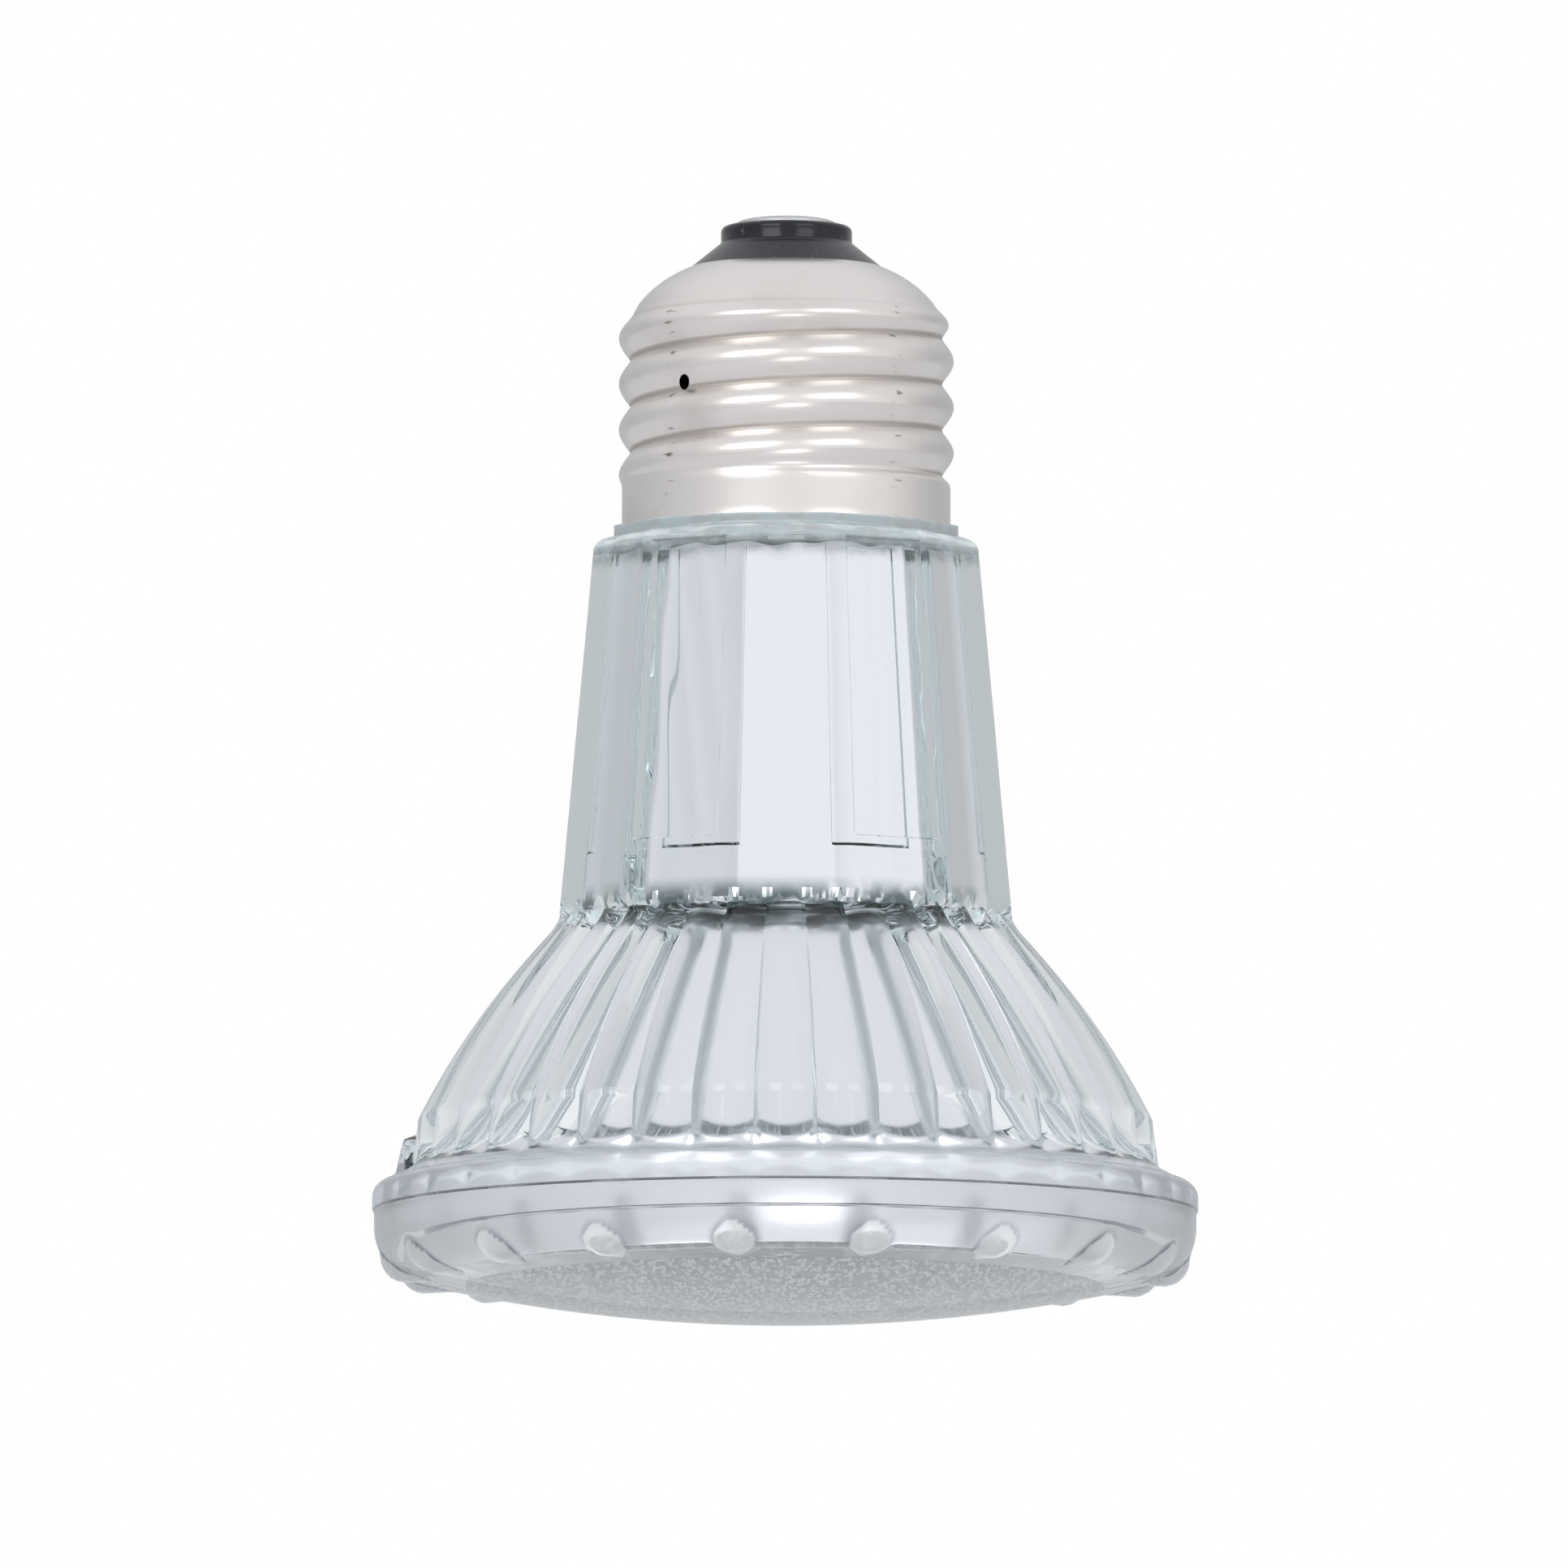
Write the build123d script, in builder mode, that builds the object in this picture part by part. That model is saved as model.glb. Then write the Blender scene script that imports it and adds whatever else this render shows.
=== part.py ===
"""Basking bulb: a pressed-glass reflector lamp with a medium screw cap, hanging cap up.

Millimetres. The origin is the end of the centre contact, +Z points up along the lamp,
so every level below the contact is negative. The side shown in the photograph faces -Y.
"""

import os
from math import cos, radians, sin, sqrt, tan

from build123d import *

# Cap: contact, black insulator and rolled shell
contact_height = 0.6
contact_radius = 3.9
contact_plate = 0.25
contact_flat_radius = 2.2
button_height = 1.3
button_radius = 5.15
button_round = 0.5
cone_height = 1.6
waist_radius = 5.2
shell_mouth_radius = 7.1
dome_height = 3.3
dome_step = 0.6
dome_bulge = 0.4
thread_height = 13.5
thread_pitch = 3.629
thread_major_radius = 13.15
thread_depth = 0.95
thread_crest_radius = 1.24
thread_crest_drop = 14.9
skirt_height = 4.3
skirt_step = 0.25
skirt_shoulder = 0.5
sheet = 0.3
pierced_hole_drop = 13.95
pierced_hole_angle = 229.2
pierced_hole_width = 1.0
pierced_hole_height = 1.3

# Glass reflector: spigot, collar, twelve-sided neck, fluted bowl and rim
facets = 12
spigot_wall = 2.3
spigot_height = 9.0
collar_step = 0.6
collar_height = 0.9
shoulder_step = 1.6
shoulder_height = 1.0
neck_flare = 2.6
neck_height = 28.6
neck_corner_round = 2.5
panel_count = 6
panel_depth = 0.45
panel_margin = 0.9
panel_foot_rise = 5.0
flutes = 36
flute_depth = 0.9
bowl_height = 16.0
bowl_radius = 28.8
bowl_shape = ((0, 0), (0.08, 0.055), (0.16, 0.17), (0.45, 0.515), (0.75, 0.815), (1, 1))
flute_wall_height = 3.7
flute_wall_flare = 0.5
flange_height = 3.4
flange_side = 1.0
flange_round = 1.2
flange_foot_step = 0.4
flange_ledge = 2.65
lug_angle = 176.0
lug_inset = 1.85
lug_width = 5.0
lug_height = 2.6

# Inside of the reflector: a paraboloid below a twelve-sided neck, with a bright film
rim_wall = 3.35
mirror_depth = 29.6
neck_wall = 3.4
throat_wall = 3.3
web_thickness = 3.0
film = 0.1

# Lens
seal_thickness = 0.2
seal_setback = 0.2
lens_step = 0.15
lens_height = 8.4
lens_dome_radius = 131.0
lens_corner_round = 4.0
lens_face_thickness = 3.0
lens_wall_step = 0.4
lens_wall_draft = 1.0
lens_lugs = 18
lens_lug_start = 2.5
lens_lug_radius = 1.65
lens_lug_head_inset = 2.3
lens_lug_head_drop = 3.9
lens_lug_tip_inset = 5.6
lens_lug_tip_drop = 5.7

# Halogen capsule and its wiring, in the plane through the pierced hole
capsule_radius = 5.5
capsule_wall = 1.0
capsule_rise = 6.0
capsule_length = 11.0
capsule_tip_radius = 1.1
capsule_tip_length = 1.6
pinch_width = 9.6
pinch_thickness = 3.4
pinch_height = 8.0
pinch_neck = 3.0
foil_width = 2.2
foil_thickness = 0.1
foil_height = 4.6
foil_offset = 2.5
filament_radius = 0.8
filament_bore = 0.45
filament_length = 8.0
filament_leg_radius = 0.22
capsule_lead_radius = 0.35
post_radius = 0.6
post_offset = 4.5
post_above_web = 1.5
post_clearance = 2.7
weld_length = 3.0
ferrule_radius = 1.5
ferrule_flange_radius = 2.2
ferrule_flange = 0.4
lead_radius = 0.4
cement_gap = 1.0
cement_height = 7.5

# Radii that follow from them, from the thread down to the lens
thread_minor_radius = thread_major_radius - thread_depth
inner_shell_radius = thread_minor_radius - sheet
dome_foot_radius = thread_minor_radius - dome_step
skirt_radius = thread_major_radius - skirt_step
spigot_radius = inner_shell_radius - cement_gap
spigot_bore_radius = spigot_radius - spigot_wall
collar_apothem = skirt_radius + collar_step
neck_top_apothem = collar_apothem + shoulder_step
neck_bottom_apothem = neck_top_apothem + neck_flare
cavity_top_apothem = neck_top_apothem - neck_wall
cavity_throat_radius = neck_bottom_apothem - throat_wall
flute_end_radius = bowl_radius + flute_wall_flare
flange_foot_radius = flute_end_radius + flange_foot_step
flange_radius = flange_foot_radius + flange_ledge
lug_radius = flange_radius - lug_inset
mouth_radius = flange_radius - rim_wall
focal_length = mouth_radius**2 / (4 * mirror_depth)
lens_radius = flange_radius - lens_step
lens_wall_radius = mouth_radius - lens_wall_step
lens_floor_radius = lens_wall_radius - lens_wall_draft
lens_lug_head_radius = lens_radius - lens_lug_head_inset
lens_lug_tip_radius = lens_radius - lens_lug_tip_inset

# Levels along the axis, from the contact down
button_top = -contact_height
button_foot = button_top - button_height
mouth_level = button_foot - cone_height
dome_foot = mouth_level - dome_height
skirt_top = dome_foot - thread_height
cap_rim = skirt_top - skirt_height
collar_foot = cap_rim - collar_height
neck_top = collar_foot - shoulder_height
neck_foot = neck_top - neck_height
bowl_foot = neck_foot - bowl_height
flute_foot = bowl_foot - flute_wall_height
seam = flute_foot - flange_height
lens_top = seam - seal_thickness
lens_foot = lens_top - lens_height
spigot_top = cap_rim + spigot_height
web_foot = neck_top - web_thickness / 2
web_top = web_foot + web_thickness
focus_level = seam + mirror_depth - focal_length
post_top = web_top + post_above_web
capsule_top = focus_level + capsule_rise
capsule_foot = capsule_top - capsule_length
pinch_foot = capsule_top + pinch_neck
pinch_top = pinch_foot + pinch_height
post_foot = pinch_top + post_clearance
foil_foot = pinch_foot + (pinch_height - foil_height) / 2
foil_top = foil_foot + foil_height
filament_top = focus_level + filament_length / 2
filament_foot = focus_level - filament_length / 2
filament_ring = (filament_radius + filament_bore) / 2
shell_lead_level = spigot_top + lead_radius
flute_step = 360 / flutes
half_facet = tan(radians(180 / facets))
neck_slant = sqrt(neck_height**2 + (neck_bottom_apothem - neck_top_apothem) ** 2)
panel_foot_share = panel_foot_rise / neck_slant
panel_foot_apothem = neck_bottom_apothem + panel_foot_share * (neck_top_apothem - neck_bottom_apothem)
panel_foot_width = 2 * (panel_foot_apothem * half_facet - panel_margin)
panel_top_width = 2 * (neck_top_apothem * half_facet - panel_margin)
bowl_stations = [
    (
        neck_foot - drop * bowl_height,
        neck_bottom_apothem + flare * (bowl_radius - neck_bottom_apothem),
    )
    for drop, flare in bowl_shape
]
wall_stations = [(bowl_foot, bowl_radius), (flute_foot, flute_end_radius)]
wiring = Plane(
    origin=(0, 0, 0),
    x_dir=(cos(radians(pierced_hole_angle)), sin(radians(pierced_hole_angle)), 0),
    z_dir=(sin(radians(pierced_hole_angle)), -cos(radians(pierced_hole_angle)), 0),
)
os.makedirs("parts", exist_ok=True)


def polar(radius, angle):
    return (radius * cos(radians(angle)), radius * sin(radians(angle)))


# Rolled shell: dome, knuckle thread fading out at both ends, skirt
with BuildPart() as thread_limit:
    with BuildSketch(Plane.XZ):
        Polygon(
            (0, dome_foot),
            (dome_foot_radius, dome_foot),
            (thread_major_radius + sheet, dome_foot - 0.7 * thread_pitch),
            (thread_major_radius + sheet, skirt_top + skirt_shoulder),
            (skirt_radius, skirt_top - skirt_shoulder),
            (skirt_radius, cap_rim),
            (0, cap_rim),
            align=None,
        )
    revolve(axis=Axis.Z)

with BuildPart() as screw_shell:
    turns_down = 2
    turns_up = 2.25
    thread_low = -thread_crest_drop - turns_down * thread_pitch
    with BuildLine() as thread_path:
        Helix(
            thread_pitch,
            (turns_down + turns_up) * thread_pitch,
            thread_major_radius - thread_crest_radius,
            center=(0, 0, thread_low),
        )
    with BuildSketch(
        Plane(
            origin=thread_path.line @ 0, x_dir=(1, 0, 0), z_dir=thread_path.line % 0
        )
    ):
        Circle(thread_crest_radius)
    sweep(path=thread_path.line, is_frenet=True)
    with BuildSketch(Plane.XZ):
        Polygon(
            (0, dome_foot),
            (dome_foot_radius, dome_foot),
            (thread_minor_radius, dome_foot - skirt_shoulder),
            (thread_minor_radius, skirt_top + skirt_shoulder),
            (skirt_radius, skirt_top - skirt_shoulder),
            (skirt_radius, cap_rim),
            (0, cap_rim),
            align=None,
        )
    revolve(axis=Axis.Z)
    add(thread_limit.part, mode=Mode.INTERSECT)
    with BuildSketch(Plane.XZ):
        with BuildLine():
            Line((0, dome_foot), (0, mouth_level))
            Line((0, mouth_level), (shell_mouth_radius, mouth_level))
            SagittaArc(
                (shell_mouth_radius, mouth_level),
                (dome_foot_radius, dome_foot),
                dome_bulge,
            )
            Line((dome_foot_radius, dome_foot), (0, dome_foot))
        make_face()
    revolve(axis=Axis.Z)
    with BuildSketch(Plane.XZ):
        with BuildLine():
            Line((0, cap_rim), (0, mouth_level))
            Line((0, mouth_level), (shell_mouth_radius, mouth_level))
            Line(
                (shell_mouth_radius, mouth_level),
                (shell_mouth_radius, mouth_level - sheet),
            )
            SagittaArc(
                (shell_mouth_radius, mouth_level - sheet),
                (dome_foot_radius - sheet, dome_foot),
                dome_bulge,
            )
            Line(
                (dome_foot_radius - sheet, dome_foot),
                (inner_shell_radius, dome_foot - skirt_shoulder),
            )
            Line(
                (inner_shell_radius, dome_foot - skirt_shoulder),
                (inner_shell_radius, cap_rim),
            )
            Line((inner_shell_radius, cap_rim), (0, cap_rim))
        make_face()
    revolve(axis=Axis.Z, mode=Mode.SUBTRACT)
    hole_plane = Plane(
        origin=(0, 0, -pierced_hole_drop), x_dir=wiring.z_dir, z_dir=wiring.x_dir
    )
    with BuildSketch(hole_plane):
        RectangleRounded(
            pierced_hole_width, pierced_hole_height, 0.45 * pierced_hole_width
        )
    extrude(amount=2 * thread_major_radius, mode=Mode.SUBTRACT)

# Black glass insulator: a button on a flared cone, and the plug inside the dome
with BuildPart() as insulator:
    with BuildSketch(Plane.XZ):
        with BuildLine():
            Line((lead_radius, dome_foot), (lead_radius, button_top))
            Line((lead_radius, button_top), (button_radius, button_top))
            Line((button_radius, button_top), (button_radius, button_foot))
            Line((button_radius, button_foot), (waist_radius, button_foot - 0.15))
            SagittaArc(
                (waist_radius, button_foot - 0.15),
                (shell_mouth_radius, mouth_level),
                -0.2,
            )
            Line(
                (shell_mouth_radius, mouth_level),
                (shell_mouth_radius, mouth_level - sheet),
            )
            SagittaArc(
                (shell_mouth_radius, mouth_level - sheet),
                (dome_foot_radius - sheet, dome_foot),
                dome_bulge,
            )
            Line((dome_foot_radius - sheet, dome_foot), (lead_radius, dome_foot))
        make_face()
    revolve(axis=Axis.Z)
    button_edges = insulator.edges().filter_by(GeomType.CIRCLE)
    fillet(
        button_edges.filter_by(
            lambda e: abs(e.radius - button_radius) < 1e-6
            and abs(e.center().Z - button_top) < 1e-6
        ),
        button_round,
    )

with BuildPart() as centre_contact:
    with BuildSketch(Plane.XY.offset(button_top)):
        Circle(contact_radius)
        Circle(lead_radius, mode=Mode.SUBTRACT)
    extrude(amount=contact_plate)

with BuildPart() as contact_solder:
    with BuildSketch(Plane.XZ):
        with BuildLine():
            Line((0, button_top + contact_plate), (0, 0))
            Line((0, 0), (contact_flat_radius, 0))
            SagittaArc(
                (contact_flat_radius, 0),
                (contact_radius, button_top + contact_plate),
                0.08,
            )
            Line(
                (contact_radius, button_top + contact_plate),
                (0, button_top + contact_plate),
            )
        make_face()
    revolve(axis=Axis.Z)


# Hollow of the reflector, and the same hollow inside its bright film: a paraboloid that
# opens into the twelve-sided neck
hollows = []
for inset in (0, film):
    rim = mouth_radius - inset
    throat = cavity_throat_radius - inset
    vertex = focus_level + focal_length - 2 * inset
    rim_level = vertex - rim**2 / (4 * focal_length)
    throat_level = vertex - throat**2 / (4 * focal_length)
    tangent_level = vertex - throat * rim / (4 * focal_length)
    with BuildPart() as hollow:
        with BuildSketch(Plane.XZ):
            with BuildLine():
                Polyline((rim, rim_level), (rim, seam - film), (0, seam - film))
                Polyline((0, seam - film), (0, throat_level), (throat, throat_level))
                Bezier((throat, throat_level), ((throat + rim) / 2, tangent_level), (rim, rim_level))
            make_face()
        revolve(axis=Axis.Z)
        with BuildSketch(Plane.XY.offset(throat_level)):
            RegularPolygon(throat, facets, rotation=180 / facets)
        with BuildSketch(Plane.XY.offset(web_foot - inset)):
            RegularPolygon(cavity_top_apothem - inset, facets, major_radius=False, rotation=180 / facets)
        loft(ruled=True)
        with BuildSketch(Plane.XY.offset(seam)):
            Circle(2 * mouth_radius)
        extrude(amount=-2 * film, mode=Mode.SUBTRACT)
    hollows.append(hollow.part)

# Pressed glass reflector in one piece
with BuildPart() as reflector:
    for stations in (bowl_stations, wall_stations):
        for level, crest in stations:
            cusp = crest * (1 - flute_depth / bowl_radius)
            with BuildSketch(Plane.XY.offset(level)):
                with BuildLine():
                    for i in range(flutes):
                        ThreePointArc(
                            polar(cusp, (i - 0.5) * flute_step),
                            polar(crest, i * flute_step),
                            polar(cusp, (i + 0.5) * flute_step),
                        )
                make_face()
        loft(ruled=stations is wall_stations)
    flange_foot_level = flute_foot - flange_foot_step
    with BuildSketch(Plane.XZ):
        with BuildLine():
            Line((0, seam), (0, flange_foot_level + 2))
            Line((0, flange_foot_level + 2), (flange_foot_radius - 2.7, flange_foot_level + 2))
            Line((flange_foot_radius - 2.7, flange_foot_level + 2), (flange_foot_radius, flange_foot_level))
            Line(
                (flange_foot_radius, flange_foot_level),
                (flange_radius - flange_round, flange_side + flange_round + seam),
            )
            RadiusArc(
                (flange_radius - flange_round, flange_side + flange_round + seam),
                (flange_radius, flange_side + seam),
                flange_round,
            )
            Line((flange_radius, flange_side + seam), (flange_radius, seam))
            Line((flange_radius, seam), (0, seam))
        make_face()
    revolve(axis=Axis.Z)
    lug_plane = Plane(
        origin=(0, 0, flute_foot - 0.4),
        x_dir=(cos(radians(lug_angle)), sin(radians(lug_angle)), 0),
        z_dir=(0, 0, 1),
    )
    with BuildSketch(lug_plane):
        with Locations((lug_radius - 1.5, 0)):
            Rectangle(3.0, lug_width)
    extrude(amount=lug_height, taper=12)
    for lower, upper in (
        ((neck_foot, neck_bottom_apothem), (neck_top, neck_top_apothem)),
        ((neck_top, neck_top_apothem), (collar_foot, collar_apothem)),
        ((collar_foot, collar_apothem), (cap_rim, collar_apothem)),
    ):
        for level, apothem in (lower, upper):
            with BuildSketch(Plane.XY.offset(level)) as facet_ring:
                RegularPolygon(apothem, facets, major_radius=False, rotation=180 / facets)
                fillet(facet_ring.vertices(), neck_corner_round)
        loft(ruled=True)
    for i in range(panel_count):
        panel_angle = i * 360 / panel_count
        with BuildSketch(
            Plane(
                origin=(*polar(neck_bottom_apothem, panel_angle), neck_foot),
                x_dir=(*polar(1, panel_angle + 90), 0),
                z_dir=(*polar(neck_height, panel_angle), neck_bottom_apothem - neck_top_apothem),
            )
        ):
            Polygon(
                (-panel_foot_width / 2, panel_foot_rise),
                (panel_foot_width / 2, panel_foot_rise),
                (panel_top_width / 2, neck_slant),
                (-panel_top_width / 2, neck_slant),
                align=None,
            )
        extrude(amount=-panel_depth, mode=Mode.SUBTRACT)
    with BuildSketch(Plane.XY.offset(cap_rim)):
        Circle(spigot_radius)
    extrude(amount=spigot_height)
    with BuildSketch(Plane.XY.offset(web_top)):
        Circle(spigot_bore_radius)
    extrude(amount=spigot_top - web_top, mode=Mode.SUBTRACT)
    add(hollows[0], mode=Mode.SUBTRACT)
    with BuildSketch(Plane.XY.offset(web_foot)):
        for side in (1, -1):
            with Locations(wiring.x_dir * side * post_offset):
                Circle(ferrule_radius)
    extrude(amount=web_thickness, mode=Mode.SUBTRACT)

with BuildPart() as mirror_coating:
    add(hollows[0])
    add(hollows[1], mode=Mode.SUBTRACT)
    with BuildSketch(Plane.XY.offset(web_foot)):
        with Locations(wiring.x_dir * post_offset, wiring.x_dir * -post_offset):
            Circle(ferrule_flange_radius)
    extrude(amount=-2 * film, mode=Mode.SUBTRACT)

# Bead of adhesive in the seam, set back a little from both rims
with BuildPart() as lens_seal:
    with BuildSketch(Plane.XY.offset(lens_top)):
        Circle(lens_radius - seal_setback)
        Circle(mouth_radius + seal_setback, mode=Mode.SUBTRACT)
    extrude(amount=seal_thickness)

# One teardrop lug, a head on the corner of the lens with its tail towards the centre
lug_head = Vector(lens_lug_head_radius, 0, seam - lens_lug_head_drop)
lug_tip = Vector(lens_lug_tip_radius, 0, seam - lens_lug_tip_drop)
lug_reach = (lug_tip - lug_head).length
lug_touch = lens_lug_radius**2 / lug_reach
lug_shoulder = sqrt(lens_lug_radius**2 - lug_touch**2)
with BuildPart() as lens_lug:
    with BuildSketch(Plane(origin=lug_head, x_dir=lug_tip - lug_head, z_dir=(0, 1, 0))):
        with BuildLine():
            ThreePointArc(
                (-lens_lug_radius, 0),
                polar(lens_lug_radius, 120),
                (lug_touch, lug_shoulder),
            )
            Polyline((lug_touch, lug_shoulder), (lug_reach, 0), (-lens_lug_radius, 0))
        make_face()
    revolve(axis=Axis(lug_head, lug_tip - lug_head))

# Pressed lens: a shallow dish with a domed face, turned from a section between two lugs
lens_section = Plane.XZ.rotated((0, 0, lens_lug_start + 180 / lens_lugs))
with BuildPart() as lens:
    with BuildSketch(lens_section):
        dome_centre = lens_foot + lens_dome_radius
        dome_edge = dome_centre - sqrt(lens_dome_radius**2 - lens_radius**2)
        with BuildLine():
            RadiusArc((0, lens_foot), (lens_radius, dome_edge), -lens_dome_radius)
            Polyline((lens_radius, dome_edge), (lens_radius, lens_top), (0, lens_top), (0, lens_foot))
        make_face()
    revolve(axis=Axis.Z)
    fillet(lens.edges().filter_by(lambda e: e.is_closed).sort_by(Axis.Z)[0], lens_corner_round)
    with PolarLocations(0, lens_lugs, start_angle=lens_lug_start):
        add(lens_lug.part)
    with BuildSketch(lens_section):
        floor_radius = lens_dome_radius - lens_face_thickness
        floor_edge = dome_centre - sqrt(floor_radius**2 - lens_floor_radius**2)
        with BuildLine():
            RadiusArc((0, dome_centre - floor_radius), (lens_floor_radius, floor_edge), -floor_radius)
            Polyline(
                (lens_floor_radius, floor_edge),
                (lens_wall_radius, lens_top),
                (0, lens_top),
                (0, dome_centre - floor_radius),
            )
        make_face()
    revolve(axis=Axis.Z, mode=Mode.SUBTRACT)

# Cement that holds the shell on the glass spigot
with BuildPart() as basing_cement:
    with BuildSketch(Plane.XY.offset(cap_rim)):
        Circle(inner_shell_radius)
        Circle(spigot_radius, mode=Mode.SUBTRACT)
    extrude(amount=cement_height)

# Tungsten coil at the focus of the reflector, kept as the sleeve it winds to
with BuildPart() as filament:
    with BuildSketch(Plane.XY.offset(filament_foot)):
        Circle(filament_radius)
        Circle(filament_bore, mode=Mode.SUBTRACT)
    extrude(amount=filament_length)

# Paired wiring: side a leads to the shell, side b to the centre contact
wire_routes = {
    "filament_leg_a": (
        filament_leg_radius,
        (
            (foil_offset, foil_foot),
            (foil_offset, filament_top + 1.3),
            (filament_ring, filament_top + 1.3),
            (filament_ring, filament_top),
        ),
    ),
    "filament_leg_b": (
        filament_leg_radius,
        (
            (-foil_offset, foil_foot),
            (-foil_offset, filament_foot - 1.5),
            (-filament_ring, filament_foot - 1.5),
            (-filament_ring, filament_foot),
        ),
    ),
    "contact_lead": (
        lead_radius,
        (
            (-post_offset, post_top),
            (-post_offset, dome_foot - 6),
            (0, dome_foot - 2.5),
            (0, button_top + contact_plate),
        ),
    ),
    "shell_lead": (
        lead_radius,
        (
            (post_offset, post_top),
            (post_offset, shell_lead_level),
            (sqrt(inner_shell_radius**2 - lead_radius**2), shell_lead_level),
        ),
    ),
}
weld_offset = post_offset - post_radius - capsule_lead_radius
for side, sign in (("a", 1), ("b", -1)):
    wire_routes[f"capsule_lead_{side}"] = (
        capsule_lead_radius,
        (
            (sign * foil_offset, foil_top),
            (sign * foil_offset, pinch_top + 1.0),
            (sign * weld_offset, post_foot + 1.0),
            (sign * weld_offset, post_foot + 1.0 + weld_length),
        ),
    )
wires = {}
for name, (radius, route) in wire_routes.items():
    with BuildPart() as wire:
        with BuildLine(wiring) as wire_path:
            FilletPolyline(*route, radius=2 * radius)
        with BuildSketch(Plane(origin=wire_path.line @ 0, z_dir=wire_path.line % 0)):
            Circle(radius)
        sweep(path=wire_path.line)
    wires[name] = wire

foils, posts, ferrules = {}, {}, {}
for side, sign in (("a", 1), ("b", -1)):
    with BuildPart() as foil:
        with BuildSketch(wiring):
            with Locations((sign * foil_offset, (foil_foot + foil_top) / 2)):
                Rectangle(foil_width, foil_height)
        extrude(amount=foil_thickness / 2, both=True)
    foils[f"foil_{side}"] = foil
    with BuildPart() as post:
        with BuildSketch(Plane.XY.offset(post_foot)):
            with Locations(wiring.x_dir * sign * post_offset):
                Circle(post_radius)
        extrude(amount=post_top - post_foot)
    posts[f"post_{side}"] = post
    with BuildPart() as ferrule:
        for level, radius, height in (
            (web_foot - ferrule_flange, ferrule_flange_radius, ferrule_flange),
            (web_foot, ferrule_radius, web_thickness),
            (web_top, ferrule_flange_radius, ferrule_flange),
        ):
            with BuildSketch(Plane.XY.offset(level)):
                with Locations(wiring.x_dir * sign * post_offset):
                    Circle(radius)
                    Circle(post_radius, mode=Mode.SUBTRACT)
            extrude(amount=height)
    ferrules[f"ferrule_{side}"] = ferrule

# Quartz capsule: tube with a round end and exhaust tip, flattened to a pinch over the foils
with BuildPart() as capsule:
    with BuildSketch(Plane.XZ):
        with BuildLine():
            Polyline(
                (0, capsule_top),
                (capsule_radius, capsule_top),
                (capsule_radius, capsule_foot),
            )
            CenterArc((0, capsule_foot), capsule_radius, 0, -90)
            Line((0, capsule_foot - capsule_radius), (0, capsule_top))
        make_face()
    revolve(axis=Axis.Z)
    with BuildSketch(Plane.XY.offset(capsule_foot - capsule_radius - capsule_tip_length)):
        Circle(capsule_tip_radius / 3)
    with BuildSketch(Plane.XY.offset(capsule_foot - capsule_radius + 0.3)):
        Circle(capsule_tip_radius)
    loft()
    with BuildSketch(Plane.XY.offset(capsule_top)):
        Circle(capsule_radius)
    pinch_plane = Plane(origin=(0, 0, pinch_foot), x_dir=wiring.x_dir, z_dir=(0, 0, 1))
    with BuildSketch(pinch_plane):
        SlotOverall(pinch_width, pinch_thickness)
    loft()
    with BuildSketch(pinch_plane):
        SlotOverall(pinch_width, pinch_thickness)
    extrude(amount=pinch_height)
    with BuildSketch(Plane.XZ):
        inner_radius = capsule_radius - capsule_wall
        with BuildLine():
            Polyline(
                (0, capsule_foot - inner_radius),
                (0, capsule_top + capsule_wall),
                (inner_radius, capsule_top - capsule_wall / 2),
                (inner_radius, capsule_foot),
            )
            CenterArc((0, capsule_foot), inner_radius, 0, -90)
        make_face()
    revolve(axis=Axis.Z, mode=Mode.SUBTRACT)
    for name in ("filament_leg_a", "filament_leg_b", "capsule_lead_a", "capsule_lead_b"):
        add(wires[name].part, mode=Mode.SUBTRACT)
    for foil in foils.values():
        add(foil.part, mode=Mode.SUBTRACT)

pieces = {
    "screw_shell": screw_shell,
    "insulator": insulator,
    "centre_contact": centre_contact,
    "contact_solder": contact_solder,
    "reflector": reflector,
    "mirror_coating": mirror_coating,
    "lens": lens,
    "lens_seal": lens_seal,
    "basing_cement": basing_cement,
    "capsule": capsule,
    "filament": filament,
    **wires,
    **foils,
    **posts,
    **ferrules,
}
for name, piece in pieces.items():
    piece.part.label = name
    export_step(piece.part, f"parts/{name}.step")
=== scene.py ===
from math import asin, atan2, cos, hypot, pi, radians, sin, sqrt, tan

import bmesh
import bpy
from mathutils import Matrix, Vector, noise
from mathutils.geometry import interpolate_bezier


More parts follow.
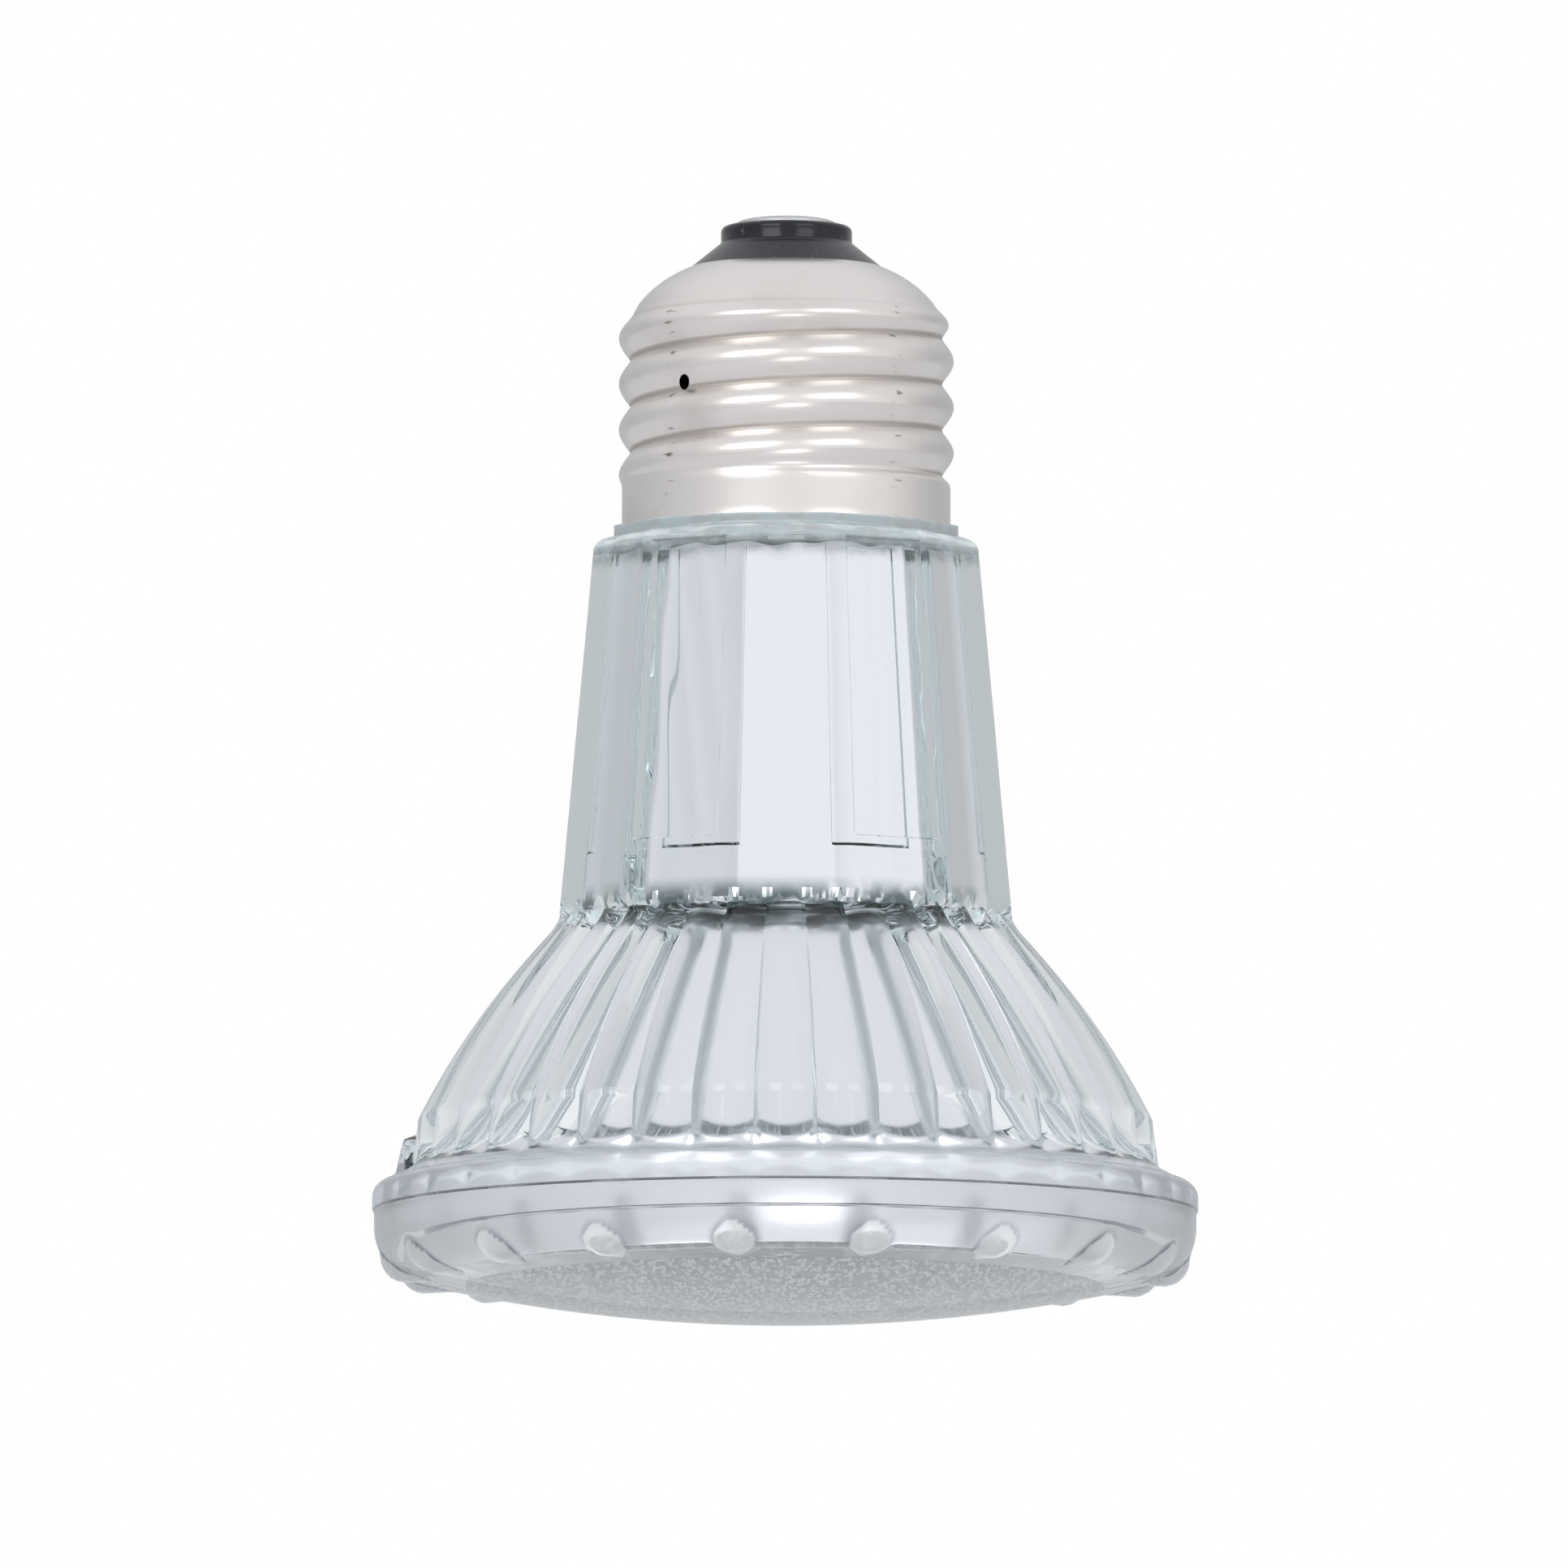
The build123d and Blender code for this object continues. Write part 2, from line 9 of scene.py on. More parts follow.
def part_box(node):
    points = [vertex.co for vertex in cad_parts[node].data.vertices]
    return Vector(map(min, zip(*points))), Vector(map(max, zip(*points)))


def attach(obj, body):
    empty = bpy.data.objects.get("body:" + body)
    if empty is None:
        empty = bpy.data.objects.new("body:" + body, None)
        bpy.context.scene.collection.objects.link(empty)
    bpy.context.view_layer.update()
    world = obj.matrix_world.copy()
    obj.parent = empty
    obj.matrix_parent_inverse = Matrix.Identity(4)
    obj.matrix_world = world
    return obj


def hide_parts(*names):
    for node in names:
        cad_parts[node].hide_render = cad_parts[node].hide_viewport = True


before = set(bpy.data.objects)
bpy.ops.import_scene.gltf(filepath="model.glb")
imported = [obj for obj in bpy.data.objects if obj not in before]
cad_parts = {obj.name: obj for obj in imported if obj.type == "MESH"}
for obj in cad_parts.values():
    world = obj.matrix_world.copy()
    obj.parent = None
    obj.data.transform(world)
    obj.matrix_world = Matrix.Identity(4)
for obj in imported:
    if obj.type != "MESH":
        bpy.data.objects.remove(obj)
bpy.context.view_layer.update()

# Reflector: one piece of pressed clear glass, taken hot from the mould. A spigot for the cap,
# a twelve-sided neck with six sunk panels, a bowl of thirty-six flutes and a plain flange.
mm = 0.001
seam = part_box("reflector")[0].z / mm
spigot_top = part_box("reflector")[1].z / mm
flange_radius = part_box("reflector")[1].y / mm
cap_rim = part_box("screw_shell")[0].z / mm
facets = 12
flutes = 36
reflector_steps = 432
spigot_radius = 10.9
spigot_bore_radius = 8.6
collar_apothem = 13.5
collar_foot = cap_rim - 0.9
neck_top = collar_foot - 1.0
neck_top_apothem = 15.1
neck_foot = neck_top - 28.6
neck_foot_apothem = 17.7
neck_corner = 2.5
panel_depth = 0.45
panel_half_angle = 14 * 2 * pi / reflector_steps
panel_foot = neck_foot + 5.0
ripple_angle = radians(-120)
ripple = 0.05
ripple_length = 2.6
ripple_slant = 0.16
bowl_foot = neck_foot - 16.0
bowl_radius = 28.8
bowl_flare_radius = 19.6
bowl_flare_foot = neck_foot - 2.56
flute_depth = 0.9
flute_foot = bowl_foot - 3.7
flute_end_radius = 29.3
ledge_level = flute_foot - 0.4
ledge_radius = 29.7
ledge_cone = 2.7 / 2.0
flange_round = 1.2
flange_side = seam + 1.0
lug_angle = radians(176)
lug_radius = 30.5
lug_half_width = 2.5
lug_top = ledge_level + 2.6
lug_draft = tan(radians(12))
lug_side_slope = 2.5
web_top = neck_top + 1.5
web_foot = neck_top - 0.3
cavity_top_apothem = 11.7
cavity_corner = 0.6
throat_radius = 14.4
mouth_radius = 29.0
mirror_depth = 29.6
mirror_vertex = seam + mirror_depth
mirror_focus = mouth_radius**2 / (4 * mirror_depth)
throat_level = mirror_vertex - throat_radius**2 / (4 * mirror_focus)
mirror_flute_depth = 0.5
mirror_fade = 6
mould_wave = 0.02
mould_wave_length = 5.0
ROUND, FACET, PANEL, FLUTE, CAVITY, MIRROR = range(6)


def stretch(start, end, count):
    """Points from start to end, both included, in equal steps."""
    return [Vector(start).lerp(Vector(end), i / count) for i in range(count + 1)]


def rows(points, form):
    """The points of an outline, with the form of their section."""
    return [(p[0], p[1], form) for p in points]


def lathe(outline, steps, closed=False):
    """A bmesh in mm, turned about the lamp's axis from (radius, level, form) points."""
    bm = bmesh.new()
    form = bm.verts.layers.int.new("form")
    verts = []
    for radius, level, kind in outline:
        v = bm.verts.new((radius, 0, level))
        v[form] = kind
        verts.append(v)
    ends = verts[1:] + verts[:1] if closed else verts[1:]
    edges = [bm.edges.new(pair) for pair in zip(verts, ends)]
    turn = {"cent": (0, 0, 0), "axis": (0, 0, 1)}
    wedge = 2 * pi / facets
    bmesh.ops.spin(bm, geom=verts + edges, angle=wedge, steps=steps // facets, **turn)
    whole = [*bm.verts, *bm.edges, *bm.faces]
    rest = 2 * pi - wedge
    bmesh.ops.spin(bm, geom=whole, angle=rest, steps=facets - 1, use_duplicate=True, **turn)
    bmesh.ops.remove_doubles(bm, verts=bm.verts, dist=1e-3)
    bmesh.ops.recalc_face_normals(bm, faces=bm.faces)
    return bm


def press(bm, section):
    """Gives each ring of a turned bmesh the radius that section(form, radius, level, angle) returns."""
    form = bm.verts.layers.int["form"]
    for v in bm.verts:
        radius = hypot(v.co.x, v.co.y)
        if radius > 1e-4:
            angle = atan2(v.co.y, v.co.x)
            share = section(v[form], radius, v.co.z, angle) / radius
            v.co.x *= share
            v.co.y *= share


def off_middle(angle, count):
    """The angle from the middle of the nearest of count equal sides, one of which faces +X."""
    half = pi / count
    return abs((angle + half) % (2 * half) - half)


def facet_radius(apothem, angle, corner):
    half = pi / facets
    off = off_middle(angle, facets)
    if off <= atan2((apothem - corner) * tan(half), apothem):
        return apothem / cos(off)
    reach = (apothem - corner) / cos(half)
    return reach * cos(half - off) + sqrt(corner**2 - (reach * sin(half - off)) ** 2)


def flute_radius(crest, angle, depth):
    half = pi / flutes
    off = off_middle(angle, flutes)
    cusp = crest * (1 - depth / bowl_radius)
    centre = (crest**2 - cusp**2) / (2 * (crest - cusp * cos(half)))
    return centre * cos(off) + sqrt((crest - centre) ** 2 - (centre * sin(off)) ** 2)


def lug_reach(level, angle):
    """Radius of the locating lug that stands on the flange, or 0 beside it."""
    rise = level - ledge_level
    across = lug_radius * sin(angle - lug_angle)
    if cos(angle - lug_angle) < 0:
        return 0
    beside = max(0, abs(across) - lug_half_width + rise * lug_draft)
    above = max(0, level - lug_top)
    return lug_radius - rise * lug_draft - lug_side_slope * (beside + above)


def inside_section(form, radius, level, angle):
    """The inside of the glass, which the bright film follows."""
    if form == CAVITY:
        return facet_radius(radius, angle, cavity_corner)
    if form == MIRROR:
        rise = (level - seam) / (throat_level - seam)
        fade = min(1, mirror_fade * rise, mirror_fade * (1 - rise))
        return flute_radius(radius, angle, max(0, fade) * mirror_flute_depth)
    return radius


def reflector_section(form, radius, level, angle):
    if form in (ROUND, CAVITY, MIRROR):
        return inside_section(form, radius, level, angle)
    if form == FLUTE:
        cone = ledge_radius - (level - ledge_level) * ledge_cone
        return max(flute_radius(radius, angle, flute_depth), cone, lug_reach(level, angle))
    spot = Vector((radius * cos(angle), radius * sin(angle), level)) / mould_wave_length
    apothem = radius + mould_wave * noise.noise(spot)
    if form == PANEL and off_middle(angle, facets // 2) <= panel_half_angle + 1e-4:
        apothem -= panel_depth
        across = apothem * sin(angle - ripple_angle)
        if abs(across) < apothem * sin(panel_half_angle):
            apothem += ripple * sin(2 * pi * (across + ripple_slant * level) / ripple_length)
    return facet_radius(apothem, angle, neck_corner)


def piece(bm, name, material, slot, *nodes, sharp=40):
    """Scales a bmesh from mm, gives it its material and stands it in for its CAD nodes."""
    bmesh.ops.scale(bm, vec=(mm, mm, mm), verts=bm.verts)
    mesh = bpy.data.meshes.new(name)
    bm.to_mesh(mesh)
    bm.free()
    mesh.shade_smooth()
    mesh.set_sharp_from_angle(angle=radians(sharp))
    mesh.materials.append(material)
    made = bpy.data.objects.new(name, mesh)
    bpy.context.scene.collection.objects.link(made)
    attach(made, "root")
    if nodes:
        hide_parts(*nodes)
    return made


class Wire:
    """One output of a shader node. Arithmetic on wires adds Math nodes."""

    def __init__(self, tree, socket=None):
        self.tree = tree
        self.socket = socket

    def node(self, kind, settings, inputs, output=0):
        made = self.tree.nodes.new("ShaderNode" + kind)
        for key, value in settings.items():
            if key == "stops":
                ramp = made.color_ramp.elements
                while len(ramp) < len(value):
                    ramp.new(0.5)
                for stop, (place, colour) in zip(ramp, value):
                    stop.position = place
                    stop.color = (*colour, 1)
            else:
                setattr(made, key, value)
        for key, value in inputs.items():
            if isinstance(value, Wire):
                self.tree.links.new(value.socket, made.inputs[key])
            else:
                made.inputs[key].default_value = value
        return Wire(self.tree, made.outputs[output])

    def math(self, operation, first, second):
        return self.node("Math", {"operation": operation}, {0: first, 1: second})

    def __add__(self, other):
        return self.math("ADD", self, other)

    def __sub__(self, other):
        return self.math("SUBTRACT", self, other)

    def __mul__(self, other):
        return self.math("MULTIPLY", self, other)

    def __rsub__(self, other):
        return self.math("SUBTRACT", other, self)

    __radd__ = __add__
    __rmul__ = __mul__


def finish(name, shader, volume=None):
    """A new material; shader(wire) returns its surface, and volume(wire) what fills it."""
    material = bpy.data.materials.new(name)
    material.use_nodes = True
    tree = material.node_tree
    tree.nodes.clear()
    output = tree.nodes.new("ShaderNodeOutputMaterial")
    wire = Wire(tree)
    tree.links.new(shader(wire).socket, output.inputs["Surface"])
    if volume:
        tree.links.new(volume(wire).socket, output.inputs["Volume"])
    return material


def object_noise(wire, scale, detail=2.0):
    place = wire.node("TexCoord", {}, {}, "Object")
    return wire.node("TexNoise", {}, {"Vector": place, "Scale": scale, "Detail": detail})


def soft_step(wire, value, start, end):
    """From 0 at start to 1 at end."""
    places = {"Value": value, "From Min": start, "From Max": end}
    return wire.node("MapRange", {"interpolation_type": "SMOOTHSTEP"}, places)


def mix_colour(wire, share, first, second):
    return wire.node("Mix", {"data_type": "RGBA"}, {"Factor": share, 6: first, 7: second}, 2)


def object_level(wire):
    place = wire.node("TexCoord", {}, {}, "Object")
    return wire.node("SeparateXYZ", {}, {"Vector": place}, "Z")


def object_radius(wire):
    place = wire.node("TexCoord", {}, {}, "Object")
    flat = wire.node("VectorMath", {"operation": "MULTIPLY"}, {0: place, 1: (1, 1, 0)})
    return wire.node("VectorMath", {"operation": "LENGTH"}, {0: flat}, "Value")


glass_colour = (0.99, 0.997, 0.997, 1)
glass_depth_colour = (0.70, 0.84, 0.86, 1)
glass_depth_density = 18.0
cement_behind_colours = ((0.54, 0.64, 0.66, 1), (0.92, 0.97, 0.98, 1))
cement_ragged = 1.6
flange_haze_colour = (0.76, 0.79, 0.86, 1)
flange_haze = 0.45


def glass(wire, height, colour, dull):
    """Clear glass with a relief, roughened where dull is 1."""
    relief = wire.node("Bump", {}, {"Height": height, "Strength": 1.0, "Distance": 0.0004})
    return wire.node(
        "BsdfPrincipled",
        {},
        {
            "Base Color": colour,
            "Roughness": object_noise(wire, 90.0) * 0.03 + dull * 0.1,
            "IOR": 1.5,
            "Transmission Weight": 1.0,
            "Normal": relief,
        },
    )


def collared_glass(wire):
    """Clear glass, with pale cement behind its collar down to a ragged edge and a haze on its flange."""
    speckle = soft_step(wire, object_noise(wire, 520.0, 4.0), 0.40, 0.60)
    ragged = object_level(wire) + object_noise(wire, 420.0, 5.0) * cement_ragged * mm
    share = soft_step(wire, ragged, (web_foot - 0.2) * mm, (neck_top + 1.2) * mm)
    on_flange = soft_step(wire, object_radius(wire), ledge_radius * mm, (ledge_radius + 0.2) * mm)
    cement = mix_colour(wire, speckle, *cement_behind_colours)
    behind = mix_colour(wire, on_flange, cement, flange_haze_colour)
    backed = wire.node("BsdfPrincipled", {}, {"Base Color": behind, "Roughness": 0.12})
    dull = on_flange * soft_step(wire, object_level(wire), (lug_top + 0.2) * mm, lug_top * mm)
    clear = glass(wire, object_noise(wire, 220.0) * 0.045, glass_colour, dull)
    cover = share * (0.7 - speckle * 0.3) + on_flange * flange_haze
    return wire.node("MixShader", {}, {0: cover, 1: clear, 2: backed})


def pressed_glass_depth(wire):
    depth = {"Color": glass_depth_colour, "Density": glass_depth_density}
    return wire.node("VolumeAbsorption", {}, depth)


bowl_curve = interpolate_bezier(
    (neck_foot_apothem, neck_foot, 0),
    (neck_foot_apothem + 0.3, neck_foot - 0.9, 0),
    (bowl_flare_radius - 0.8, bowl_flare_foot + 0.9, 0),
    (bowl_flare_radius, bowl_flare_foot, 0),
    9,
)[:-1] + interpolate_bezier(
    (bowl_flare_radius, bowl_flare_foot, 0),
    (bowl_flare_radius + 4.05, bowl_flare_foot - 4.5, 0),
    (bowl_radius - 2.25, bowl_foot + 4.5, 0),
    (bowl_radius, bowl_foot, 0),
    24,
)
mirror_curve = [
    (r, mirror_vertex - r**2 / (4 * mirror_focus))
    for r, _ in stretch((throat_radius, 0), (mouth_radius, 0), 30)
]
throat_apothem = throat_radius * cos(pi / facets)
cavity_curve = stretch((cavity_top_apothem, web_foot), (throat_apothem, throat_level), 24)
flange_curve = interpolate_bezier(
    (flange_radius - flange_round, flange_side + flange_round, 0),
    (flange_radius - 0.45 * flange_round, flange_side + flange_round, 0),
    (flange_radius, flange_side + 0.55 * flange_round, 0),
    (flange_radius, flange_side, 0),
    8,
)
shoulder_curve = interpolate_bezier(
    (collar_apothem + 0.25, collar_foot, 0),
    (neck_top_apothem - 0.5, collar_foot - 0.1, 0),
    (neck_top_apothem - 0.05, neck_top + 0.3, 0),
    (neck_top_apothem, neck_top, 0),
    8,
)
neck_flare = (neck_foot_apothem - neck_top_apothem) / (neck_top - neck_foot)
panel_foot_apothem = neck_top_apothem + neck_flare * (neck_top - panel_foot)
reflector_outline = [
    *rows([(0, web_top), (spigot_bore_radius, web_top), (spigot_bore_radius, spigot_top)], ROUND),
    *rows([(spigot_radius, spigot_top), (spigot_radius, cap_rim)], ROUND),
    *rows(stretch((collar_apothem, cap_rim), (collar_apothem, collar_foot), 3), FACET),
    *rows(shoulder_curve, FACET),
    *rows(stretch((neck_top_apothem, neck_top - 0.15), (panel_foot_apothem, panel_foot), 30), PANEL),
    *rows(stretch((panel_foot_apothem, panel_foot - 0.15), (neck_foot_apothem, neck_foot), 7), FACET),
    *rows(bowl_curve, FLUTE),
    *rows(stretch((bowl_radius, bowl_foot - 0.3), (flute_end_radius, ledge_level), 26), FLUTE),
    *rows(flange_curve, ROUND),
    *rows([(flange_radius, seam), (mouth_radius, seam)], ROUND),
    *rows(mirror_curve[-2::-1], MIRROR),
    *rows(cavity_curve[::-1], CAVITY),
    *rows([(0, web_foot)], ROUND),
]
reflector_mesh = lathe(reflector_outline, reflector_steps)
press(reflector_mesh, reflector_section)
for face in reflector_mesh.faces:
    middle = face.calc_center_median()
    reach = hypot(middle.x, middle.y)
    in_bore = reach < spigot_bore_radius and middle.z > web_foot + 1
    face.material_index = int(in_bore or middle.z > cap_rim - 0.01)
clear_glass = finish("clear_glass", collared_glass, pressed_glass_depth)
reflector = piece(reflector_mesh, "reflector_glass", clear_glass, "clear_glass", "reflector")

# Bright film: aluminium that is evaporated onto the inside of the reflector, so thin that it
# takes the gloss of the glass it lies on. It lines the neck and the bowl and ends at the seam.
film_gap = 0.03
film = 0.07
film_edge_wave = 0.5
film_edge_wave_length = 2.5
# Painted shade: near the throat level the film takes a dark teal colour in ragged patches, painted for the
# dim inside seen through the glass there.
film_break_shade_colour = (0.075, 0.12, 0.13, 1)
film_break_shade_reach = 2.8
film_satin = 0.2
mirror_colour = (0.885, 0.88, 0.905, 1)


def film_side(inset):
    """The film's outline from the neck down to the mouth, inset from the glass."""
    return [
        *rows([(0, web_foot - inset)], ROUND),
        *rows([(r - inset, level - inset * (level == web_foot)) for r, level in cavity_curve], CAVITY),
        *rows([(r - inset, level) for r, level in mirror_curve], MIRROR),
    ]


def bright_film(wire):
    bloom = object_noise(wire, 60.0)
    satin = soft_step(wire, object_level(wire), throat_level * mm, (throat_level - 2) * mm) * film_satin
    off = wire.math("ABSOLUTE", object_level(wire) - throat_level * mm, 0)
    # Painted shade: ragged dark teal patches on the film near the throat level.
    throat_band = soft_step(wire, off, film_break_shade_reach * mm, 0.3 * film_break_shade_reach * mm)
    throat_shade = throat_band * soft_step(wire, object_noise(wire, 350.0), 0.3, 0.5)
    colour = mix_colour(wire, throat_shade, mirror_colour, film_break_shade_colour)
    rough = bloom * 0.05 + satin + 0.02
    return wire.node("BsdfPrincipled", {}, {"Base Color": colour, "Metallic": 1.0, "Roughness": rough})


film_mesh = lathe(film_side(film_gap) + film_side(film_gap + film)[::-1], reflector_steps)
press(film_mesh, inside_section)
for v in film_mesh.verts:
    if v.co.z < web_foot - film_edge_wave:
        continue
    v.co.z -= film_edge_wave * (0.5 + noise.noise(v.co / film_edge_wave_length))
mirror_film = finish("mirror_film", bright_film)
piece(film_mesh, "bright_film", mirror_film, "mirror_film", "mirror_coating")
reflector.data.materials.append(mirror_film)

# Ferrules, posts and leads: nickel eyelets sealed into the glass web, with the stiff wires that
# carry the capsule below it, and soft leads above it to the cap. Bright drawn wire, a little grey.
wire_colour = (0.60, 0.59, 0.56, 1)
wire_dull_colour = (0.42, 0.41, 0.40, 1)


def drawn_wire(wire):
    bloom = object_noise(wire, 700.0)
    colour = mix_colour(wire, bloom, wire_dull_colour, wire_colour)
    rough = bloom * 0.2 + 0.22
    return wire.node("BsdfPrincipled", {}, {"Base Color": colour, "Metallic": 1.0, "Roughness": rough})


def dress(material, *nodes):
    """Gives CAD nodes that are shown as they are their finish."""
    for name in nodes:
        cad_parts[name].material_slots[0].material = material


nickel_wire = finish("nickel_wire", drawn_wire)
dress(nickel_wire, "ferrule_a", "ferrule_b", "post_a", "post_b", "contact_lead", "shell_lead")

# Halogen capsule: a quartz tube with a round end and an exhaust tip, flattened hot into a pinch
# that seals the two molybdenum foils. It stands on its leads, welded to the posts.
capsule_low, capsule_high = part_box("capsule")
capsule_steps = 96
capsule_radius = 5.5
capsule_wall = 1.0
capsule_tip = capsule_low.z / mm
capsule_end = capsule_tip + 1.6
capsule_shoulder = capsule_end + capsule_radius + 11.0
pinch_foot = capsule_shoulder + 3.0
pinch_top = capsule_high.z / mm
pinch_half_width = 4.8
pinch_half_thickness = 1.7
wiring_angle = radians(229.2)
quartz_colour = (0.995, 0.998, 1.0, 1)
PINCHED = MIRROR + 1


def pinch_radius(angle):
    """Radius of the pinch's slot-shaped section, long side along the wiring."""
    run = pinch_half_width - pinch_half_thickness
    across = abs(sin(angle - wiring_angle))
    along = abs(cos(angle - wiring_angle))
    if across > 1e-9 and pinch_half_thickness / across * along <= run:
        return pinch_half_thickness / across
    return run * along + sqrt(pinch_half_thickness**2 - (run * across) ** 2)


def ease(share):
    """From 0 to 1 with soft ends, and level beyond them."""
    share = min(1, max(0, share))
    return share * share * (3 - 2 * share)


def capsule_section(form, radius, level, angle):
    if form == ROUND:
        return radius
    share = ease((level - capsule_shoulder) / (pinch_foot - capsule_shoulder))
    return radius * (1 + share * (pinch_radius(angle) / capsule_radius - 1))


def round_end(radius, level, start, end, count):
    """Part of a circle about a point on the axis, between two angles from straight down."""
    return [(radius * sin(a), level - radius * cos(a)) for a, _ in stretch((start, 0), (end, 0), count)]


def quartz_glass(wire):
    draw_lines = object_noise(wire, 300.0)
    relief = wire.node("Bump", {}, {"Height": draw_lines, "Strength": 0.1, "Distance": 0.0004})
    return wire.node(
        "BsdfPrincipled",
        {},
        {
            "Base Color": quartz_colour,
            "Roughness": draw_lines * 0.02,
            "IOR": 1.46,
            "Transmission Weight": 1.0,
            "Normal": relief,
        },
    )


capsule_middle = capsule_end + capsule_radius
capsule_bore = capsule_radius - capsule_wall
tip_radius = 1.1
tip_angle = asin(1.2 * tip_radius / capsule_radius)
tube_foot = capsule_middle + 0.5
capsule_outline = [
    *rows([(0, capsule_tip), (0.3 * tip_radius, capsule_tip), (tip_radius, capsule_end + 0.1)], ROUND),
    *rows(round_end(capsule_radius, capsule_middle, tip_angle, pi / 2, 14), ROUND),
    *rows(stretch((capsule_radius, tube_foot), (capsule_radius, capsule_shoulder), 6), ROUND),
    *rows(
        stretch((capsule_radius, capsule_shoulder + 0.3), (capsule_radius, pinch_top - 0.4), 20),
        PINCHED,
    ),
    *rows([(0.9 * capsule_radius, pinch_top)], PINCHED),
    *rows([(0, pinch_top)], ROUND),
]
bore_outline = [
    *rows(round_end(capsule_bore, capsule_middle, 0, pi / 2, 14), ROUND),
    *rows(stretch((capsule_bore, tube_foot), (capsule_bore, capsule_shoulder - 0.5), 6), ROUND),
    *rows([(0.6 * capsule_bore, capsule_shoulder + 0.7), (0, capsule_shoulder + 1.0)], ROUND),
]
capsule_mesh = lathe(capsule_outline, capsule_steps)
press(capsule_mesh, capsule_section)
bore_mesh = lathe(bore_outline, capsule_steps)
bmesh.ops.reverse_faces(bore_mesh, faces=bore_mesh.faces)
bore_data = bpy.data.meshes.new("capsule_bore")
bore_mesh.to_mesh(bore_data)
bore_mesh.free()
capsule_mesh.from_mesh(bore_data)
bpy.data.meshes.remove(bore_data)
piece(capsule_mesh, "quartz_capsule", finish("quartz", quartz_glass), "quartz", "capsule")
molybdenum = finish("molybdenum", drawn_wire)
dress(molybdenum, "foil_a", "foil_b", "capsule_lead_a", "capsule_lead_b")

# Filament: a close coil of tungsten wire at the focus of the reflector, with a straight leg at
# each end that runs up into the pinch.
filament_low, filament_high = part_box("filament")
coil_turns = 17
coil_steps = 20
coil_wire = 0.17
coil_radius = filament_high.x / mm - coil_wire
coil_foot = filament_low.z / mm + coil_wire
coil_rise = (filament_high.z - filament_low.z) / mm - 2 * coil_wire
tungsten_colour = (0.20, 0.20, 0.21, 1)


def tungsten_wire(wire):
    rough = object_noise(wire, 900.0) * 0.2 + 0.3
    return wire.node(
        "BsdfPrincipled", {}, {"Base Color": tungsten_colour, "Metallic": 1.0, "Roughness": rough}
    )


coil_mesh = bmesh.new()
coil_start = Matrix.Translation((coil_radius, 0, coil_foot)) @ Matrix.Rotation(pi / 2, 4, "X")
bmesh.ops.create_circle(coil_mesh, cap_ends=True, segments=8, radius=coil_wire, matrix=coil_start)
bmesh.ops.spin(
    coil_mesh,
    geom=coil_mesh.faces[:],
    cent=(0, 0, 0),
    axis=(0, 0, 1),
    dvec=(0, 0, coil_rise / (coil_turns * coil_steps)),
    angle=2 * pi * coil_turns,
    steps=coil_turns * coil_steps,
)
bmesh.ops.recalc_face_normals(coil_mesh, faces=coil_mesh.faces)
tungsten = finish("tungsten", tungsten_wire)
piece(coil_mesh, "filament_coil", tungsten, "tungsten", "filament")
dress(tungsten, "filament_leg_a", "filament_leg_b")

# Seal: a thin bead of pale adhesive between the flange and the lens. It is laid on the rim and
# pressed flat as the lens is set down, and stays a little back from both edges.
seal_colour = (0.74, 0.74, 0.78, 1)
seal_light_colour = (0.86, 0.86, 0.90, 1)


def seam_bead(wire):
    grain = object_noise(wire, 500.0)
    colour = mix_colour(wire, grain, seal_colour, seal_light_colour)
    return wire.node("BsdfPrincipled", {}, {"Base Color": colour, "Roughness": grain * 0.2 + 0.5})


dress(finish("seam_adhesive", seam_bead), "lens_seal")

# Lens: a pressed clear dish that closes the reflector. Eighteen teardrop lugs stand on its corner,
# the outside of its face is smooth and the inside is stippled all over by the mould.
lens_steps = 576
lens_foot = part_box("lens")[0].z / mm
lens_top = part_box("lens")[1].z / mm
lens_radius = flange_radius - 0.15
lens_dome_radius = 131.0
lens_dome_centre = lens_foot + lens_dome_radius
lens_corner = 4.0
lens_face = 2.0
lens_wall_radius = 28.6
lens_floor_radius = 27.6
stipple_radius = 24.6
lens_lugs = 18
lens_lug_start = radians(2.5)
lens_lug_radius = 2.0
lens_lug_head = Vector((29.7, 0, seam - 3.8))
lens_lug_tip = Vector((26.6, 0, seam - 5.7))
lens_lug_blend = 12
lens_lug_outline = 0.4
LUGGED, SILVERED = PINCHED + 1, PINCHED + 2
lug_axis = (lens_lug_tip - lens_lug_head).normalized()
lug_reach_along = (lens_lug_tip - lens_lug_head).length
lug_touch = lens_lug_radius**2 / lug_reach_along
lug_shoulder = sqrt(lens_lug_radius**2 - lug_touch**2)


